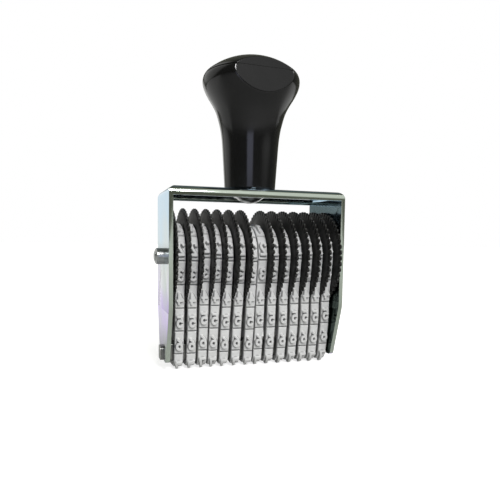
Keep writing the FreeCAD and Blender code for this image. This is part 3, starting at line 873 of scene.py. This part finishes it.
def room_light(stage):
    """Light from all round: a white backdrop behind, a card behind on the left and one in
    front on the right, dim walls elsewhere, and plain white where the camera looks. A
    card's light depends on the cosine of the angle to its middle."""
    world = bpy.data.worlds.new("room_light")
    world.use_nodes = True
    tree = world.node_tree
    tree.nodes.clear()
    direction = node(tree, "TexCoord").outputs["Generated"]
    lit = node(tree, "Background", {"Color": list(stage.walls), "Strength": stage.room})
    for strength, middle, ends, full in CARDS:
        facing = node(tree, "VectorMath", {0: direction, 1: middle}, operation="DOT_PRODUCT")
        share = node(tree, "MapRange", {
            "Value": facing, "From Min": math.cos(math.radians(ends)),
            "From Max": math.cos(math.radians(full)), "To Max": getattr(stage, strength)},
            interpolation_type="SMOOTHSTEP")
        card = node(tree, "Background", {"Color": WHITE, "Strength": share})
        lit = node(tree, "AddShader", {0: lit, 1: card})
    path = node(tree, "LightPath")
    white = node(tree, "Background", {"Color": WHITE})
    mix = node(tree, "MixShader", {0: path.outputs["Is Camera Ray"], 1: lit, 2: white})
    node(tree, "OutputWorld", {"Surface": mix})
    return world


def view_camera(stage):
    """The camera at the photograph's place and angle."""
    data = bpy.data.cameras.new("view_camera")
    data.lens, data.sensor_width = stage.lens, SENSOR
    data.shift_x, data.shift_y = CAMERA_SHIFT
    data.clip_start, data.clip_end = CAMERA_CLIP
    camera = bpy.data.objects.new("view_camera", data)
    camera.location = CAMERA_PLACE
    camera.rotation_euler = [math.radians(angle) for angle in CAMERA_TURN]
    return camera


# Operators

class STAMP_OT_number_bands(bpy.types.Operator):
    """Builds the fourteen rubber number bands"""
    bl_idname = "stamp.number_bands"
    bl_label = "Number bands"

    def execute(self, context):
        sizes = context.scene.stamp_bands
        rubber = moulded_rubber(sizes)
        for index in range(1, BANDS + 1):
            cad = "number_band_%02d" % index
            name = "rubber_band_%02d" % index
            low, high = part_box(cad)
            shift, front, back, phase = (values[index - 1] * MM for values in BAND_PLACES)
            middle = (low[0] + high[0]) / 2 + shift
            mesh = band_mesh(name, sizes, middle, front, back, phase)
            place(name, mesh, rubber, BODY, "grey_rubber", cad)
        return {"FINISHED"}


class STAMP_OT_thumb_wheels(bpy.types.Operator):
    """Builds the fourteen toothed thumb wheels"""
    bl_idname = "stamp.thumb_wheels"
    bl_label = "Thumb wheels"

    def execute(self, context):
        sizes = context.scene.stamp_wheels
        low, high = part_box("number_wheel_01")
        nylon = moulded_nylon(sizes, (low[2] + high[2]) / 2, (high[2] - low[2]) / 2)
        for index in range(1, BANDS + 1):
            cad = "number_wheel_%02d" % index
            low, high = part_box(cad)
            name = "thumb_wheel_%02d" % index
            mesh = wheel_mesh(name, sizes, low, high, UNIT_SHIFT[index - 1] * MM, index <= BANDS // 2)
            place(name, mesh, nylon, "wheel_%02d" % index, "black_wheel", cad)
        return {"FINISHED"}


class STAMP_OT_knob(bpy.types.Operator):
    """Builds the black knob and its cap"""
    bl_idname = "stamp.knob"
    bl_label = "Knob"

    def execute(self, context):
        sizes = context.scene.stamp_knob
        finish = knob_lacquer(sizes)
        seam, half = sizes.seam, sizes.seam_gap / 2
        start = sizes.head_height * HEAD_START_SHARE
        neck = np.r_[np.linspace(0, sizes.foot_edge, FOOT_POINTS),
                     np.linspace(sizes.foot_edge, start, NECK_POINTS)[1:],
                     np.linspace(start, seam - half, HEAD_POINTS)[1:]]
        radius = knob_softened(sizes, neck)
        inner = radius[-1] - sizes.seam_depth
        heights = np.r_[0.0, neck, seam - half, seam, seam]
        radii = np.r_[0.0, radius, inner, inner, 0.0]
        body = knob_surface("knob_body", sizes, heights, radii)
        place("knob_body", body, finish, BODY, "black_handle", "handle_body")
        top = sizes.head_height + sizes.dome
        turn = np.linspace(0, math.pi / 2, DOME_POINTS)
        dome = seam + half + (top - seam - half) * np.sin(turn)
        heights = np.r_[seam, seam, seam + half, dome]
        radii = np.r_[0.0, inner, inner, knob_profile(sizes, dome)]
        cap = knob_surface("knob_cap", sizes, heights, radii)
        place("knob_cap", cap, finish, BODY, "black_handle", "handle_cap")
        return {"FINISHED"}


TURNED_PARTS = ("axle", "axle_nut_left", "axle_nut_right", "axle_spacer_left",
                "axle_spacer_right", "handle_screw", "handle_washer")


class STAMP_OT_metal_parts(bpy.types.Operator):
    """Finishes the frame and the bridge, and gives the axle, its nuts and the screw a steel finish"""
    bl_idname = "stamp.metal_parts"
    bl_label = "Metal parts"

    def execute(self, context):
        metals = context.scene.stamp_metals
        mesh = mark_inside(merged_copy("plated_frame", "frame_yoke"), metals.inside_shade_top,
                           metals.lip_shade_top)
        sheet = place("plated_frame", mesh, plated_sheet(metals), BODY, "plated_sheet", "frame_yoke")
        rounding = sheet.modifiers.new("broken_edges", "BEVEL")
        rounding.width, rounding.segments = metals.edge, 2
        rounding.limit_method, rounding.angle_limit = "ANGLE", SHARP
        rounding.harden_normals = True
        drawn = turned_steel("drawn_bridge_metal", metals.bridge, DRAWN_GRAIN)
        paint("bridge_bar", drawn)
        steel = turned_steel("turned_bright_steel", metals.steel, TURNED_GRAIN)
        for name in TURNED_PARTS:
            paint(name, steel)
        return {"FINISHED"}


class STAMP_OT_stage(bpy.types.Operator):
    """Builds the floor, the lamps, the room light and the camera"""
    bl_idname = "stamp.stage"
    bl_label = "Stage"

    def execute(self, context):
        scene, stage = context.scene, context.scene.stamp_stage
        corners = np.array([[[x, y, 0] for y in (-FLOOR_REACH, FLOOR_REACH)]
                            for x in (-FLOOR_REACH, FLOOR_REACH)])
        floor = bpy.data.objects.new("studio_floor", surface("studio_floor", corners))
        floor.data.materials.append(floor_paper(stage))
        scene.camera = view_camera(stage)
        lamps = [lamp(*given, getattr(stage, power), code) for *given, power, code in LAMPS]
        for made in (floor, scene.camera, *lamps):
            scene.collection.objects.link(made)
        scene.world = room_light(stage)
        scene.view_settings.view_transform = "Standard"
        return {"FINISHED"}


class STAMP_PT_panel(bpy.types.Panel):
    """Lists the stamp's sizes, colours and operators"""
    bl_idname = "STAMP_PT_panel"
    bl_label = "Number band stamp"
    bl_space_type = "VIEW_3D"
    bl_region_type = "UI"
    bl_category = "Stamp"

    def draw(self, context):
        for title, group, operator in SECTIONS:
            box = self.layout.box()
            box.label(text=title)
            values = getattr(context.scene, group)
            for key in values.__annotations__:
                box.prop(values, key)
            box.operator(operator)


SECTIONS = (("Number bands", "stamp_bands", "stamp.number_bands"),
            ("Thumb wheels", "stamp_wheels", "stamp.thumb_wheels"),
            ("Knob", "stamp_knob", "stamp.knob"),
            ("Metal parts", "stamp_metals", "stamp.metal_parts"),
            ("Stage", "stamp_stage", "stamp.stage"))
GROUPS = {"stamp_bands": StampBandSizes, "stamp_wheels": StampWheelSizes,
          "stamp_knob": StampKnobSizes, "stamp_metals": StampMetals, "stamp_stage": StampStage}
CLASSES = (*GROUPS.values(), STAMP_OT_number_bands, STAMP_OT_thumb_wheels, STAMP_OT_knob,
           STAMP_OT_metal_parts, STAMP_OT_stage, STAMP_PT_panel)


def register():
    for made in CLASSES:
        bpy.utils.register_class(made)
    for name, group in GROUPS.items():
        setattr(bpy.types.Scene, name, bpy.props.PointerProperty(type=group))


def unregister():
    for name in GROUPS:
        delattr(bpy.types.Scene, name)
    for made in reversed(CLASSES):
        bpy.utils.unregister_class(made)


def main():
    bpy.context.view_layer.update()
    register()
    bpy.ops.stamp.number_bands()
    bpy.ops.stamp.thumb_wheels()
    bpy.ops.stamp.knob()
    bpy.ops.stamp.metal_parts()
    bpy.ops.stamp.stage()


if __name__ == "__main__":
    main()
